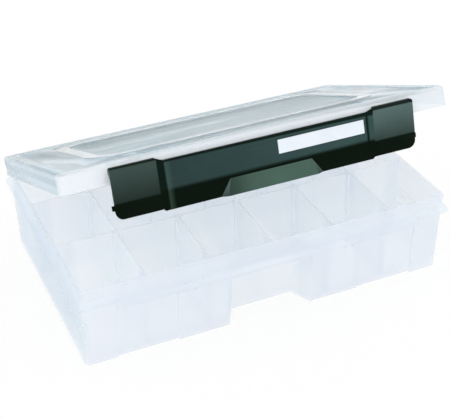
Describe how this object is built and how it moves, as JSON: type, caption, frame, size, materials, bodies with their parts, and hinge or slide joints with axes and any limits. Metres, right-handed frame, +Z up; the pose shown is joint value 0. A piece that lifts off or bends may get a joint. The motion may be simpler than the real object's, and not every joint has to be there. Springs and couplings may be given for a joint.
{
  "type": "tackle box",
  "caption": "Shallow compartment tray with removable dividers, a pin-hinged moulded lid and a full-width snap latch with a write-on label.",
  "frame": {"origin": "middle of the tray's underside, on the surface it stands on", "axes": "+Z up, the latch side faces -Y, +X to the right of someone facing the latch"},
  "size_m": [0.3632, 0.2422, 0.1871],
  "materials": {
    "clear_plastic": "translucent frosted polypropylene, smooth, slightly blue",
    "divider_plastic": "translucent frosted polypropylene, smooth",
    "latch_plastic": "charcoal satin moulded plastic",
    "label_film": "matt white write-on film",
    "pin_steel": "drawn stainless wire"
  },
  "bodies": {
    "tray_body": {"base_tray": "clear_plastic", "divider_front_1": "divider_plastic", "divider_front_2": "divider_plastic", "divider_front_3": "divider_plastic", "divider_front_4": "divider_plastic", "divider_front_5": "divider_plastic", "divider_middle_1": "divider_plastic", "divider_middle_2": "divider_plastic", "divider_middle_3": "divider_plastic", "divider_middle_4": "divider_plastic", "divider_middle_5": "divider_plastic", "divider_back_1": "divider_plastic", "divider_back_2": "divider_plastic", "divider_back_3": "divider_plastic", "divider_back_4": "divider_plastic", "divider_back_5": "divider_plastic", "hinge_pin_left": "pin_steel", "hinge_pin_centre": "pin_steel", "hinge_pin_right": "pin_steel"},
    "lid_body": {"lid": "clear_plastic", "latch_pin_left": "pin_steel", "latch_pin_right": "pin_steel"},
    "latch_body": {"latch": "latch_plastic", "write_on_label": "label_film"}
  },
  "joints": [
    {"name": "lid_hinge", "type": "hinge", "parent": "tray_body", "child": "lid_body", "pos_m": [0, 0.1201, 0.0825], "axis": [-1, 0, 0], "range_deg": [-23.9, 90]},
    {"name": "latch_hinge", "type": "hinge", "parent": "lid_body", "child": "latch_body", "pos_m": [0, -0.10065, 0.1824], "axis": [-1, 0, 0], "range_deg": [-4, 85]}
  ]
}
